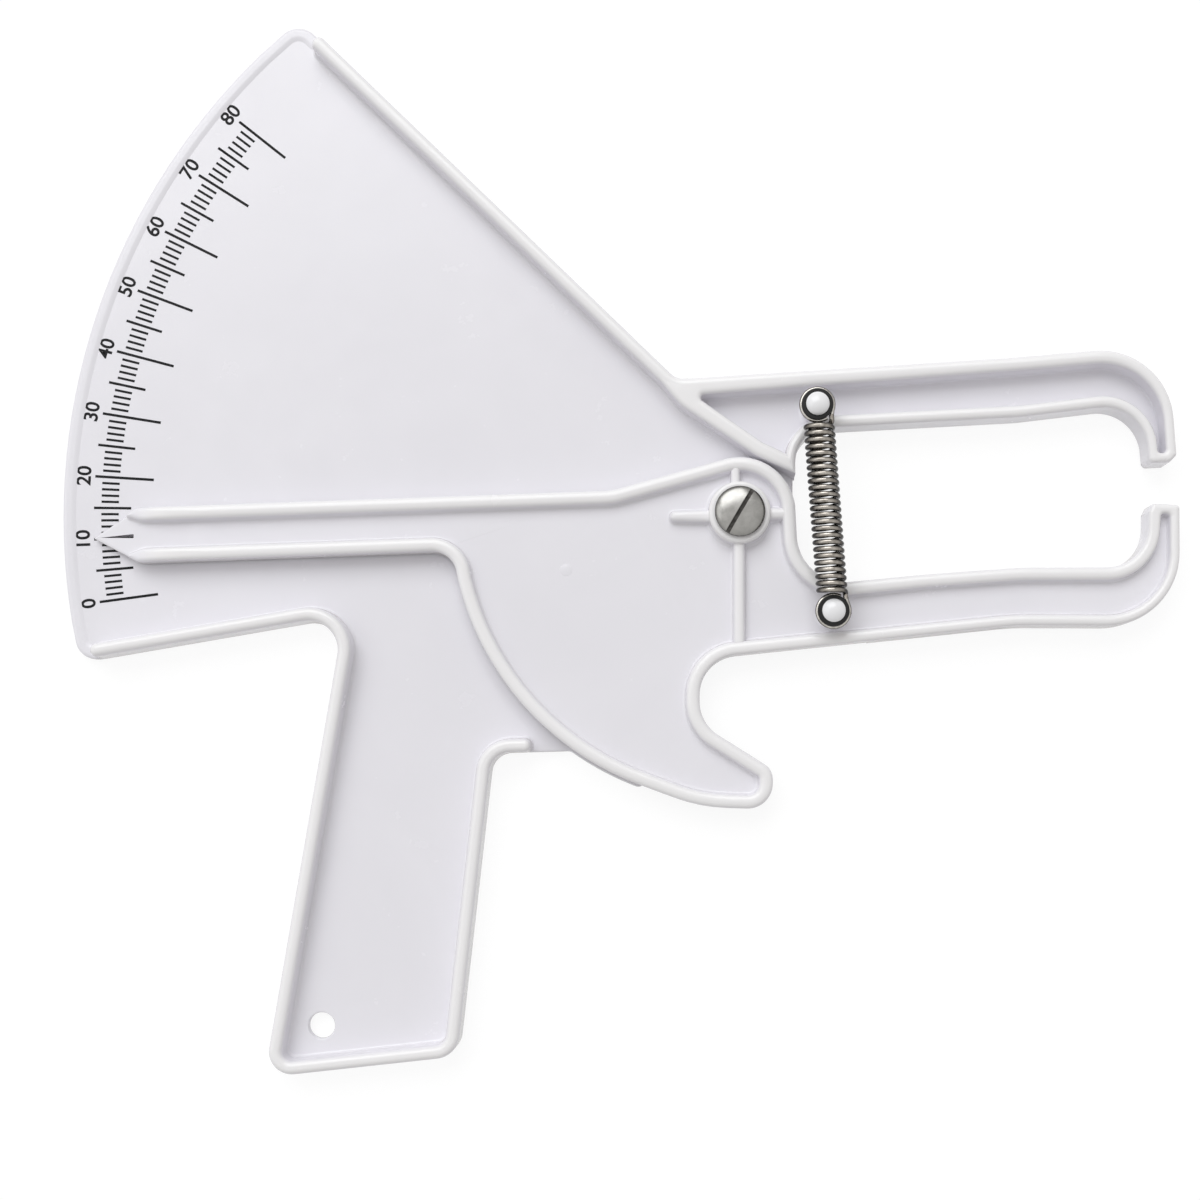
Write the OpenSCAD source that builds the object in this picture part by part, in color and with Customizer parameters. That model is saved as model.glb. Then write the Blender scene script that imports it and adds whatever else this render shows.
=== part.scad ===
// Skinfold caliper lying on its back. Millimetres, pivot axis on Z, back face on z = 0,
// jaws towards +X, scale fan towards -X, grip towards -Y.

/* [Scale frame] */
// radius of the scale fan's outer edge
fan_r = 155.6; // [152:0.2:164]
// how far behind the pivot that edge has its centre
fan_back = 7.7; // [5:0.1:9]
// angle of the fan's top corner above the -X axis, degrees
fan_top = 50.6; // [48:0.2:54]
// angle of the fan's lower corner below the -X axis, degrees
fan_low = 13.1; // [12.8:0.1:14]
// thickness of the fan, grip and jaw webs
plate_t = 2.5; // [2:0.1:3]
// height of the rims over the back face
rim_h = 8; // [7.4:0.1:8.6]
// width of the rims round the fan, the grip and the lever
rim_w = 3.2; // [2.4:0.1:3.4]
// radius of the frame's guard edge behind the trigger
guard_r = 69.9; // [69.6:0.1:72]

/* [Grip] */
// how far the grip's left bottom corner lies below the pivot
grip_drop = 134.8; // [124:0.5:145]
// width of the grip at its bottom
grip_w = 46; // [42:0.5:52]
// diameter of the hanging hole
hang_d = 6.3; // [5:0.1:8]
// distance of the hanging hole's centre from the left edge and the bottom
hang_in = 11.8; // [10:0.1:14]

/* [Jaws] */
// distance of the jaw tips' outer faces from the pivot along X
jaw_reach = 104.4; // [100:0.2:115]
// width of a jaw tip
tip_w = 6.5; // [6.2:0.1:7.5]
// height of the closed tips over the pivot
tip_y = 12; // [11:0.1:13]
// width of the rims round the jaws
jaw_rim_w = 2.6; // [2:0.1:2.8]
// jaw gap that the caliper shows, which is its reading
reading = 10; // [2:0.5:14]
// height of the lower jaw's deep part over the back face
jaw_lift = 0.5; // [0.3:0.1:1]

/* [Lever] */
// width of the pointer arm
arm_w = 13; // [10:0.5:13.5]
// distance of the pointer's tip from the pivot
pointer_r = 155.6; // [152:0.2:157]
// radius of the lever's round lower edge from the pivot
lever_r = 69.2; // [67:0.1:69.4]
// radius of the lever's hub
hub_r = 13.4; // [12.8:0.1:14]
// thickness of the lever's web
lever_t = 2.2; // [1.8:0.1:2.6]
// width of the pointer's sight slot at its inner end
slot_w = 1; // [0.6:0.1:1.4]

/* [Pivot] */
// radius of the pivot barrel
barrel_r = 3; // [2.6:0.1:3.4]
// radius of the boss round the pivot
boss_r = 7.4; // [7.2:0.1:8.4]
// height of the boss over the rims
boss_up = 1; // [0.6:0.1:1.6]
// thickness of the washer between frame and lever
spacer_t = 0.55; // [0.5:0.05:0.8]
// radius of the screw's head
head_r = 6; // [5:0.1:6.6]
// height of the screw's head
head_h = 1.9; // [1.6:0.1:2.4]
// radius of the screw's shank
shank_r = 1.6; // [1.3:0.05:1.9]
// radius of the barrel's flange
flange_r = 5.2; // [4.6:0.1:6]
// thickness of the barrel's flange
flange_t = 1; // [0.7:0.05:1.1]

/* [Spring] */
// diameter of the spring wire
wire_d = 1; // [0.8:0.05:1.05]
// outside diameter of the coil
coil_d = 7.4; // [6.8:0.1:7.6]
// turns of the coil
coil_turns = 25; // [20:1:26]
// mean radius of the wire loops at the spring's ends
eye_r = 3.65; // [3.5:0.05:3.9]
// play of the wire loops round their bushings
loop_play = 0.65; // [0.6:0.05:0.8]
// radius of the posts that carry the spring
post_r = 2.6; // [2.4:0.1:3]
// radius of the black bushings' flanges
bush_r = 3.8; // [3.7:0.05:4.1]
// radius of the white post caps
cap_r = 2.95; // [2.6:0.05:3.2]
// height of the post caps' domes
cap_h = 1.5; // [1.2:0.1:1.8]

/* [Hidden] */
run_gap = 0.05;
hub_gap = 0.7;
tip_gap = 0.06;
sink = 0.2;
arc_step = 11;
axis_low = 2.05;
tip_slope = 2.8;
lever_z = plate_t + spacer_t + run_gap;
web_top = lever_z + lever_t;
boss_top = rim_h + boss_up;
tip_left = jaw_reach - tip_w;
gap_radius = 102.4;
drawn_turn = 2 * asin(10 / (2 * gap_radius));
shown_turn = 2 * asin(reading / (2 * gap_radius));

function unit2(v) = v / norm(v);
function flat2(p) = [p[0], p[1]];
function cross2(a, b) = a[0] * b[1] - a[1] * b[0];
function polar(r, a) = [r * cos(a), r * sin(a), 0];
function on_fan(a) = [fan_r * cos(a) - fan_back, fan_r * sin(a), 0];
function turned(p, a) = [p[0] * cos(a) - p[1] * sin(a), p[0] * sin(a) + p[1] * cos(a)];
function with_r(p, r) = [p[0], p[1], r];
function y_on(p, q, x) = p[1] + (q[1] - p[1]) * (x - p[0]) / (q[0] - p[0]);
// one corner q between p and s, rounded with the radius r
function corner(p, q, s, r) =
  let(a = unit2(flat2(p) - flat2(q)), b = unit2(flat2(s) - flat2(q)),
      half = acos(max(-1, min(1, a * b))) / 2)
  r < 0.01 || half > 89 ? [flat2(q)] :
  let(c = flat2(q) + unit2(a + b) * r / sin(half), t = flat2(q) + a * r / tan(half),
      from = atan2(t[1] - c[1], t[0] - c[0]),
      turn = (180 - 2 * half) * (cross2(a, b) < 0 ? 1 : -1),
      n = max(1, ceil(abs(turn) / arc_step)))
  [for (i = [0:n]) c + r * [cos(from + turn * i / n), sin(from + turn * i / n)]];
// a closed run of corners [x, y, r] as points
function loop(c) = let(n = len(c))
  [for (i = [0:n - 1]) each corner(c[(i + n - 1) % n], c[i], c[(i + 1) % n], c[i][2])];
// an open run of corners as points
function path(c) = let(n = len(c))
  concat([flat2(c[0])], [for (i = [1:n - 2]) each corner(c[i - 1], c[i], c[i + 1], c[i][2])],
         [flat2(c[n - 1])]);
// corner q moved inwards, to the left of the way p, q, s, by d
function inward(p, q, s, d) =
  let(u = unit2(flat2(q) - flat2(p)), v = unit2(flat2(s) - flat2(q)),
      m = [-u[1], u[0]], n = [-v[1], v[0]], at = flat2(q) + (m + n) * d / (1 + m * n))
  [at[0], at[1], q[2] < 0.01 ? 0 : cross2(u, v) > 0 ? max(q[2] - d, 0.5) : q[2] + d];
function inset(c, d) = let(n = len(c))
  [for (i = [0:n - 1]) inward(c[(i + n - 1) % n], c[i], c[(i + 1) % n], d)];
// the left side of an open run, its ends moved square
function inset_path(c, d) = let(n = len(c), a = unit2(flat2(c[1]) - flat2(c[0])),
    b = unit2(flat2(c[n - 1]) - flat2(c[n - 2])))
  concat([[c[0][0] - a[1] * d, c[0][1] + a[0] * d, 0]],
         [for (i = [1:n - 2]) inward(c[i - 1], c[i], c[i + 1], d)],
         [[c[n - 1][0] - b[1] * d, c[n - 1][1] + b[0] * d, 0]]);
// half round end from point p to point q
function round_end(p, q) = let(c = (p + q) / 2, r = norm(q - p) / 2, a = atan2(p[1] - c[1], p[0] - c[0]))
  [for (i = [1:7]) c + r * [cos(a + 180 * i / 8), sin(a + 180 * i / 8)]];
function back_to_front(v) = [for (i = [len(v) - 1:-1:0]) v[i]];
// a rim of width w along the left of a run, with half round ends
function rim(c, w) = let(out = path(c), inn = path(inset_path(c, w)), n = len(out), m = len(inn))
  concat(out, round_end(out[n - 1], inn[m - 1]), back_to_front(inn), round_end(inn[0], out[0]));

// frame corners, anticlockwise from the fan's top corner
neck = [-15.1, 32.1, 4];
jaw_top = [65, 37.1, 60];
jaw_bow = [jaw_reach - 2, 40.3, 17.5];
tip_chamfer = [jaw_reach, tip_y + 1.8, 0.8];
function closed_face(x, off) = [x, tip_y + tan(tip_slope) * (x - 100.9) + off];
up_tip_in = with_r(closed_face(tip_left, tip_gap), 1.2);
up_tip_out = with_r(closed_face(jaw_reach - 1.6, tip_gap), 0.8);
up_tip_full = with_r(closed_face(jaw_reach, tip_gap), 0.8);
up_inner = [tip_left - 1.2, 26.5, 10.5];
up_inner_mid = [67.2, 23, 40];
throat_up = [13.2, 20.1, 8.5];
stop_r = hub_r + hub_gap;
stop_a = 65.4;
function on_rib(out, along) = [(stop_r + out) * cos(stop_a) - along * sin(stop_a),
                               (stop_r + out) * sin(stop_a) + along * cos(stop_a), 0];
rib_mid = on_rib(0, 2.3);
rib_end = on_rib(0, -8.2);
rib_start = [-19.3, 30.7, 3.8];
rib_bend = [-14.2, 25.8, 15];
fan_from = 180 - fan_top;
fan_to = 180 + fan_low;
fan_corner = with_r(on_fan(fan_from), 5.5);
fan_foot = with_r(on_fan(fan_to), 5);
grip_root = [-94.5, -24.1, 7];
grip_heel = [-113.5, -grip_drop, 5.5];
grip_toe = [-113.5 + grip_w, -grip_drop + 5, 6];
finger_root = [-59.3, -57.3, 5];
guard_a = 180 + asin(56.8 / guard_r);
guard_end = 250.5;
outline = concat(
  [fan_corner],
  [for (i = [0:17]) on_fan(fan_from + 4.5 + (fan_to - fan_from - 8) * i / 17)],
  [fan_foot, grip_root, grip_heel, grip_toe, finger_root, with_r(polar(guard_r, guard_a), 2)],
  [for (i = [1:4]) polar(guard_r, guard_a + (guard_end - guard_a) * i / 5)],
  [with_r(polar(guard_r, guard_end), 1.5), [-9, -16.5, 5]],
  [for (i = [0:10]) polar(hub_r - 0.6, 257 + 11 * i)],
  [[13, 5, 3], throat_up, up_inner_mid, up_inner, up_tip_in, up_tip_out, tip_chamfer, jaw_bow, jaw_top, neck]);
jaw_loop = [[-16.1, 31.9, 0], [-17.4, 28.9, 0], rib_bend, rib_mid, rib_end, throat_up, up_inner_mid, up_inner, up_tip_in, up_tip_out,
            tip_chamfer, jaw_bow, jaw_top];
jaw_pocket = [rib_start, on_rib(0.8, 2.3), on_rib(0.8, -8.2), throat_up, up_inner_mid, up_inner, up_tip_in, up_tip_full,
              jaw_bow, jaw_top];
fan_dir = unit2(flat2(fan_corner) - flat2(neck));
fan_rim = [[-11.5, neck[1] + 0.25, 0], neck, with_r(flat2(fan_corner) - fan_dir * 9.5, 0)];
foot_dir = unit2(flat2(grip_root) - flat2(fan_foot));
grip_rim = [with_r(flat2(fan_foot) + foot_dir * 4.5, 0), grip_root, grip_heel, grip_toe, finger_root,
            [-51.5, -57.1, 0]];

// lever corners, anticlockwise from the pointer's tip, as the lever stands at a reading of 10
function on_arm(u, v) = [-u * cos(axis_low) - v * sin(axis_low), -u * sin(axis_low) + v * cos(axis_low)];
arm_h = arm_w / 2;
shoulder_u = pointer_r - arm_h / tan(30);
lever_a = 180 + axis_low + asin(arm_h / lever_r);
low_face_in = with_r(turned(closed_face(tip_left, -tip_gap), -drawn_turn), 0.9);
low_face_out = with_r(turned(closed_face(jaw_reach, -tip_gap), -drawn_turn), 1);
low_tip_side = [tip_left - 0.2, 0.2, 0.6];
low_face_full = with_r(turned(closed_face(tip_left - 0.7, -tip_gap), -drawn_turn), 0.6);
low_bow = [low_face_out[0] + 0.1, -27.1, 17.5];
low_bottom = [66, -26.9, 60];
low_inner = [tip_left - 0.3, -13, 10];
low_inner_mid = [67.2, -13.1, 60];
low_inner_root = [45, -14.7, 40];
throat_low = [14.3, -17.6, 11.5];
hook_top = [-9.6, -34.9, 9.5];
tangent_a = 105.5;
tangent = [hub_r * cos(tangent_a), hub_r * sin(tangent_a)];
arm_up = [-sin(axis_low), cos(axis_low)];
tangent_dir = [-sin(tangent_a), cos(tangent_a)];
arm_root = with_r(tangent + tangent_dir * (arm_h - tangent * arm_up) / (tangent_dir * arm_up), 12);
lever_body = concat(
  [with_r(polar(lever_r, lever_a), 6)],
  [for (i = [0:11]) polar(lever_r, lever_a + 6 + (250 - lever_a - 6) * i / 11)],
  [[-9.5, -lever_r - 1.1, 40], [7.9, -lever_r - 1.6, 6], [7.9, -lever_r + 7.9, 4.3], [-9.6, -50.3, 9.5],
   hook_top, low_bottom, low_bow]);
lever_top = concat(
  [low_inner, low_inner_mid, low_inner_root, throat_low],
  [for (i = [0:11]) polar(hub_r, 8 + (tangent_a - 8) * i / 11)],
  [arm_root]);
lever_out = concat(
  [with_r(on_arm(pointer_r, 0), 0.3), with_r(on_arm(shoulder_u, -arm_h), 3)],
  lever_body, [low_face_out, low_face_in, low_tip_side], lever_top,
  [with_r(on_arm(shoulder_u, arm_h), 3)]);
lever_pocket = concat(
  [with_r(on_arm(pointer_r + 20, arm_h), 0), with_r(on_arm(pointer_r + 20, -arm_h), 0)],
  lever_body, [low_face_out, low_face_full], lever_top);
deep_x = 31;
deep_out = [[deep_x, y_on(hook_top, low_bottom, deep_x), 1], low_bottom, low_bow, low_face_out, low_face_in,
            low_tip_side, low_inner, low_inner_mid, low_inner_root,
            [deep_x, y_on(throat_low, low_inner_root, deep_x), 1]];
jaw_from = deep_x - 5;
low_pocket = [[jaw_from, y_on(hook_top, low_bottom, jaw_from) + 0.6, 1], low_bottom, low_bow, low_face_out,
              low_face_full, low_inner, low_inner_mid, low_inner_root,
              [jaw_from, y_on(throat_low, low_inner_root, jaw_from) - 0.6, 1]];
deep_pocket = [deep_out[0], low_bottom, low_bow, low_face_out, low_face_full, low_inner, low_inner_mid,
               low_inner_root, deep_out[9]];

// spring posts and the spring between them
post_up = [18.15, 24.7];
post_low_drawn = [21.9, -24];
lever_turn = drawn_turn - shown_turn;
post_low = turned(post_low_drawn, lever_turn);
wire_r = wire_d / 2;
coil_r = (coil_d - wire_d) / 2;
spring_z = boss_top + 0.55 + coil_d / 2 - 1 + 0.05;
eye_floor = spring_z - wire_r - run_gap;
flange_up = 0.8;
post_top = eye_floor - flange_up;
bush_top = spring_z + wire_r + run_gap + 0.5;
spring_len = norm(post_low - post_up);
spring_dir = unit2(post_low - post_up);
spring_side = [-spring_dir[1], spring_dir[0]];
leg_end = 3.2;
bend_r = 1.2;
rise_guess = (spring_len - 2 * (leg_end + wire_d + bend_r)) / coil_turns;
lead = atan(rise_guess / (2 * PI * coil_r));
bend_w = bend_r * (1 - sin(lead));
bend_s = bend_r * cos(lead);
helix_from = leg_end + wire_d + bend_s;
helix_len = spring_len - 2 * helix_from;
helix_w = 2 * PI * coil_r * coil_turns - 2 * bend_w;
steps = coil_turns * 8;
// places on the coil's cylinder: along the axis and round it
run_half = [for (b = [0:22.5:67.5]) [leg_end + wire_d + bend_r * sin(b), bend_r * (1 - cos(b)), 90 - b]];
run_all = concat(
  [[leg_end, 0, 90]], run_half,
  [for (i = [0:steps]) [helix_from + helix_len * i / steps, bend_w + helix_w * i / steps, lead]],
  back_to_front([for (p = run_half) [spring_len - p[0], 2 * PI * coil_r * coil_turns - p[1], p[2]]]),
  [[spring_len - leg_end, 2 * PI * coil_r * coil_turns, 90]]);
function around(w) = let(a = w / coil_r * 180 / PI)
  [spring_side[0] * cos(a), spring_side[1] * cos(a), -sin(a)];
function across(w) = let(a = w / coil_r * 180 / PI)
  [-spring_side[0] * sin(a), -spring_side[1] * sin(a), -cos(a)];
along = [spring_dir[0], spring_dir[1], 0];
start3 = [post_up[0], post_up[1], spring_z];
function wire_at(q) = start3 + along * q[0] + around(q[1]) * coil_r;
wire_line = [for (q = run_all) wire_at(q)];
wire_points = [for (q = run_all) let(o = around(q[1]), t = along * sin(q[2]) + across(q[1]) * cos(q[2]),
    b = cross(t, o)) for (k = [0:5]) wire_at(q) + wire_r * (o * cos(60 * k) + b * sin(60 * k))];
rings = len(run_all);
wire_faces = concat(
  [for (i = [0:rings - 2]) for (k = [0:5]) [i * 6 + k, i * 6 + (k + 1) % 6, i * 6 + 6 + k]],
  [for (i = [0:rings - 2]) for (k = [0:5]) [i * 6 + (k + 1) % 6, i * 6 + 6 + (k + 1) % 6, i * 6 + 6 + k]],
  [for (k = [1:4]) [0, k + 1, k]],
  [for (k = [1:4]) [rings * 6 - 6, rings * 6 - 6 + k, rings * 6 - 6 + k + 1]]);
least_gap = min([for (i = [0:rings - 8]) for (j = [i + 7:min(rings - 1, i + 12)])
  norm(wire_line[i] - wire_line[j])]) - wire_d;
echo(least_gap_between_turns = least_gap);
echo(spring_length = spring_len, spring_axis_height = spring_z, post_low = post_low);

module bar(points, low, high) translate([0, 0, low]) linear_extrude(high - low) polygon(points);

// white moulded frame: scale fan, grip, finger rest and upper jaw
module scale_frame() color([0.93, 0.93, 0.95]) difference() {
  union() {
    bar(loop(outline), 0, plate_t);
    difference() {
      bar(loop(jaw_loop), 0, rim_h);
      bar(loop(inset(jaw_pocket, jaw_rim_w)), plate_t, rim_h + 1);
    }
    bar(rim(fan_rim, rim_w), 0, rim_h);
    bar(rim(grip_rim, rim_w), 0, rim_h);
    translate([post_up[0], post_up[1], 1]) cylinder(r = post_r, h = post_top - 1, $fn = 48);
  }
  translate([0, 0, -1]) cylinder(r = barrel_r + run_gap, h = plate_t + 2, $fn = 48);
  translate([0, 0, -1]) cylinder(r = flange_r + 0.1, h = 1 + sink + flange_t, $fn = 48);
  translate([grip_heel[0] + hang_in + 1, -grip_drop + hang_in, -1])
    cylinder(d = hang_d, h = plate_t + 2, $fn = 48);
  translate([post_up[0], post_up[1], rim_h - 3]) cylinder(r = pin_r + run_gap, h = 20, $fn = 32);
}

// white moulded lever: pointer arm, hub, trigger and lower jaw
module pointer_lever() color([0.95, 0.95, 0.97]) rotate([0, 0, lever_turn]) difference() {
  union() {
    bar(loop(lever_out), lever_z, web_top);
    difference() {
      bar(loop(lever_out), lever_z, rim_h);
      bar(loop(inset(lever_pocket, rim_w)), web_top, rim_h + 1);
      bar(loop(inset(low_pocket, jaw_rim_w)), web_top, rim_h + 1);
      rotate([0, 0, axis_low]) translate([-pointer_r - 2, -arm_w, web_top])
        cube([pointer_r + 2 - shoulder_u - 3, 2 * arm_w, 20]);
    }
    difference() {
      bar(loop(deep_out), jaw_lift, web_top);
      bar(loop(inset(deep_pocket, jaw_rim_w)), 0, lever_z);
    }
    cylinder_at(0, 0, boss_r, lever_z, boss_top);
    bar([[-2.1, 0], [0.1, 0], [0.1, hub_r - 1], [-2.1, hub_r - 1]], lever_z, rim_h);
    bar([[-1.5, -32], [1.3, -32], [1.3, 0], [-1.5, 0]], lever_z, rim_h);
    bar([[0, -1.6], [hub_r - 1, -1.6], [hub_r - 1, 1.4], [0, 1.4]], lever_z, rim_h);
    bar(concat([[0, 0.8], [-15.6, 0.4]], round_end([-15.6, 0.4], [-15.6, -1.8]), [[-15.6, -1.8], [0, -2.2]]),
        lever_z, rim_h);
    cylinder_at(post_low_drawn[0], post_low_drawn[1], post_r, lever_z + 1, post_top);
  }
  cylinder_at(0, 0, barrel_r + run_gap, -1, 20);
  cylinder_at(post_low_drawn[0], post_low_drawn[1], pin_r + run_gap, rim_h - 3, 30);
  bar([on_arm(pointer_r - 0.9, 0.07), on_arm(pointer_r - 0.9, -0.07), on_arm(pointer_r - 9.6, -slot_w / 2),
       on_arm(pointer_r - 10, 0), on_arm(pointer_r - 9.6, slot_w / 2)], 0, 20);
}
module cylinder_at(x, y, r, low, high) translate([x, y, low]) cylinder(r = r, h = high - low, $fn = 48);

// flanged barrel nut that the lever turns on
module pivot_barrel() color([0.6, 0.6, 0.62]) difference() {
  union() {
    cylinder_at(0, 0, flange_r, sink, sink + flange_t);
    cylinder_at(0, 0, barrel_r, sink, washer_low);
  }
  cylinder_at(0, 0, shank_r, sink + flange_t + 1, 30);
}
washer_low = boss_top + run_gap;
washer_t = 0.5;
head_low = washer_low + washer_t;

// thin washer that keeps the lever off the frame
module spacer_washer() color([0.8, 0.8, 0.8]) difference() {
  cylinder_at(0, 0, boss_r - 0.6, plate_t, plate_t + spacer_t);
  cylinder_at(0, 0, barrel_r + run_gap, 0, 20);
}

// steel washer under the screw's head
module front_washer() color([0.7, 0.7, 0.72]) difference() {
  cylinder_at(0, 0, head_r - 0.4, washer_low, head_low);
  cylinder_at(0, 0, shank_r + 0.1, 0, 30);
}

// domed, slotted pivot screw
dome = (head_r * head_r + (head_h - 0.5) * (head_h - 0.5)) / (2 * (head_h - 0.5));
dome_a = asin(head_r / dome);
module pivot_screw() color([0.62, 0.62, 0.6]) {
  difference() {
    rotate_extrude($fn = 64) polygon(concat([[0, head_low], [head_r, head_low]],
      [for (i = [0:8]) [dome * sin(dome_a * (8 - i) / 8),
        head_low + head_h - dome + dome * cos(dome_a * (8 - i) / 8)]]));
    rotate([0, 0, 59.5]) translate([-10, -0.7, head_low + head_h - 1.3]) cube([20, 1.4, 5]);
  }
  cylinder_at(0, 0, shank_r, sink + flange_t + 1.4, head_low + 0.2);
}

// extension spring: the turns between its two loops
module spring_coil() color([0.5, 0.48, 0.45]) polyhedron(wire_points, wire_faces);

// wire loop at one end of the spring, with the leg that runs into the turns
module eye(at, dir) {
  side = dir * [[0, 1], [-1, 0]];
  from = sqrt(eye_r * eye_r - coil_r * coil_r) - 0.2;
  translate([at[0], at[1], spring_z]) rotate_extrude($fn = 48) translate([eye_r, 0]) circle(r = wire_r, $fn = 24);
  translate([at[0], at[1], spring_z]) rotate([0, 0, atan2(dir[1], dir[0])]) {
    translate([from, coil_r * (dir == spring_dir ? 1 : -1), 0]) rotate([0, 90, 0])
      cylinder(r = wire_r, h = leg_end - from, $fn = 24);
  }
}
module spring_upper_eye() color([0.5, 0.48, 0.45]) eye(post_up, spring_dir);
module spring_lower_eye() color([0.5, 0.48, 0.45]) eye(post_low, -spring_dir);

// black sleeve with two flanges that a spring loop turns on
module bushing(at) difference() {
  union() {
    cylinder_at(at[0], at[1], bush_r - 0.3, post_top, eye_floor);
    cylinder_at(at[0], at[1], eye_r - wire_r - loop_play, post_top, bush_top);
    cylinder_at(at[0], at[1], bush_r, bush_top - 0.5, bush_top);
  }
  cylinder_at(at[0], at[1], pin_r + run_gap, 0, 40);
}
module upper_bushing() color([0.08, 0.08, 0.08]) bushing(post_up);
module lower_bushing() color([0.08, 0.08, 0.08]) bushing(post_low);

// white domed cap pin pressed into a post
pin_r = post_r - 0.9;
cap_dome = (cap_r * cap_r + (cap_h - 0.4) * (cap_h - 0.4)) / (2 * (cap_h - 0.4));
cap_a = asin(cap_r / cap_dome);
module cap(at) translate([at[0], at[1], 0]) rotate_extrude($fn = 48) polygon(concat(
  [[0, rim_h - 2.6], [pin_r, rim_h - 2.6], [pin_r, bush_top], [cap_r, bush_top]],
  [for (i = [0:7]) [cap_dome * sin(cap_a * (7 - i) / 7),
    bush_top + cap_h - cap_dome + cap_dome * cos(cap_a * (7 - i) / 7)]]));
module upper_post_cap() color([0.97, 0.97, 0.97]) cap(post_up);
module lower_post_cap() color([0.97, 0.97, 0.97]) cap(post_low);

scale_frame();
pointer_lever();
pivot_barrel();
spacer_washer();
front_washer();
pivot_screw();
spring_coil();
spring_upper_eye();
spring_lower_eye();
upper_bushing();
lower_bushing();
upper_post_cap();
lower_post_cap();
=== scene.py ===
import math

import bmesh
import bpy
from mathutils import Matrix, Vector


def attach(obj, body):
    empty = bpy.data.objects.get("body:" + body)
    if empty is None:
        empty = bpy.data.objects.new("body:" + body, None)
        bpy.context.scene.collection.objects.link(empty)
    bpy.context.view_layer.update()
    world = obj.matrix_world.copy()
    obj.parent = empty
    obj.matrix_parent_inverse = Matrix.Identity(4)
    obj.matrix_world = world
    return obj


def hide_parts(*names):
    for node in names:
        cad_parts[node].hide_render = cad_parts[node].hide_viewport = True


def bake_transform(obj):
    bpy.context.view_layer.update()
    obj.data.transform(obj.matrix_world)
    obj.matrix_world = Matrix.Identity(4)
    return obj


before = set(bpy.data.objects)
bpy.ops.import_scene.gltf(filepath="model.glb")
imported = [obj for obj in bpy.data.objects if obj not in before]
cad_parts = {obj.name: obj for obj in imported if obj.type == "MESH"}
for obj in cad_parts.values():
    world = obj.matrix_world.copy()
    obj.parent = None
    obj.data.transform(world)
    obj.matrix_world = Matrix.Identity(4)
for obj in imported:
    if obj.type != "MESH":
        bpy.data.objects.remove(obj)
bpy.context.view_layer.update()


# ---- The table, the camera and the light ----
# A plain white surface under the caliper, seen from almost straight above, with one large
# soft lamp beyond the fan and an even white room round it.

scene = bpy.context.scene
scene.view_settings.view_transform = "Standard"

camera = bpy.data.objects.new("camera", bpy.data.cameras.new("camera"))
scene.collection.objects.link(camera)
camera.location = (-0.01633, -0.06648, 0.39928)
camera.rotation_euler = (0.0068, -0.0004, -0.0002)
camera.data.lens = 49.29
camera.data.sensor_width = 36
camera.data.shift_x = -0.06
camera.data.shift_y = 0.15
camera.data.clip_start = 0.01
scene.camera = camera


daylight, lamp_aim = (0.97, 0.985, 1.0), (-0.02, 0, 0)


def lamp(name, place, size, power):
    light = bpy.data.lights.new(name, "AREA")
    light.shape = "RECTANGLE"
    light.size, light.size_y = size
    light.energy = power
    light.color = daylight
    thing = bpy.data.objects.new(name, light)
    scene.collection.objects.link(thing)
    thing.location = place
    thing.rotation_euler = (Vector(lamp_aim) - Vector(place)).to_track_quat("-Z", "Y").to_euler()


lamp("window_lamp", (-0.95, 2.8, 3.4), (4.0, 3.0), 119)
lamp("side_lamp", (-1.65, 0.3, 1.5), (1.1, 1.1), 4.0)


def camera_sees(nodes, links):
    """1 for rays from the camera and for those mirrored or let through by the object."""
    path = nodes.new("ShaderNodeLightPath")
    seen = path.outputs["Is Camera Ray"]
    for kind in ("Is Transmission Ray", "Is Glossy Ray"):
        either = nodes.new("ShaderNodeMath")
        either.operation = "MAXIMUM"
        links.new(seen, either.inputs[0])
        links.new(path.outputs[kind], either.inputs[1])
        seen = either.outputs[0]
    return seen


room = bpy.data.worlds.new("room")
scene.world = room
room.use_nodes = True
nodes, links = room.node_tree.nodes, room.node_tree.links
nodes.clear()
seen = nodes.new("ShaderNodeBackground")
seen.inputs["Color"].default_value = (1, 1, 1, 1)
seen.inputs["Strength"].default_value = 1.0
lighting = nodes.new("ShaderNodeBackground")
lighting.inputs["Color"].default_value = (1.0, 0.985, 0.97, 1)
lighting.inputs["Strength"].default_value = 0.5
pick = nodes.new("ShaderNodeMixShader")
out = nodes.new("ShaderNodeOutputWorld")
links.new(camera_sees(nodes, links), pick.inputs[0])
links.new(lighting.outputs[0], pick.inputs[1])
links.new(seen.outputs[0], pick.inputs[2])
links.new(pick.outputs[0], out.inputs[0])

white_table = bpy.data.materials.new("white_table")
white_table.use_nodes = True
nodes, links = white_table.node_tree.nodes, white_table.node_tree.links
nodes.clear()
paint = nodes.new("ShaderNodeBsdfDiffuse")
paint.inputs["Color"].default_value = (0.9, 0.9, 0.9, 1)
dim_paint = nodes.new("ShaderNodeBsdfDiffuse")
dim_paint.inputs["Color"].default_value = (0.14, 0.14, 0.14, 1)
glow = nodes.new("ShaderNodeEmission")
glow.inputs["Color"].default_value = (1, 1, 1, 1)
glow.inputs["Strength"].default_value = 0.89
lit = nodes.new("ShaderNodeAddShader")
pick = nodes.new("ShaderNodeMixShader")
out = nodes.new("ShaderNodeOutputMaterial")
links.new(dim_paint.outputs[0], lit.inputs[0])
links.new(glow.outputs[0], lit.inputs[1])
links.new(camera_sees(nodes, links), pick.inputs[0])
links.new(paint.outputs[0], pick.inputs[1])
links.new(lit.outputs[0], pick.inputs[2])
links.new(pick.outputs[0], out.inputs[0])

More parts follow.
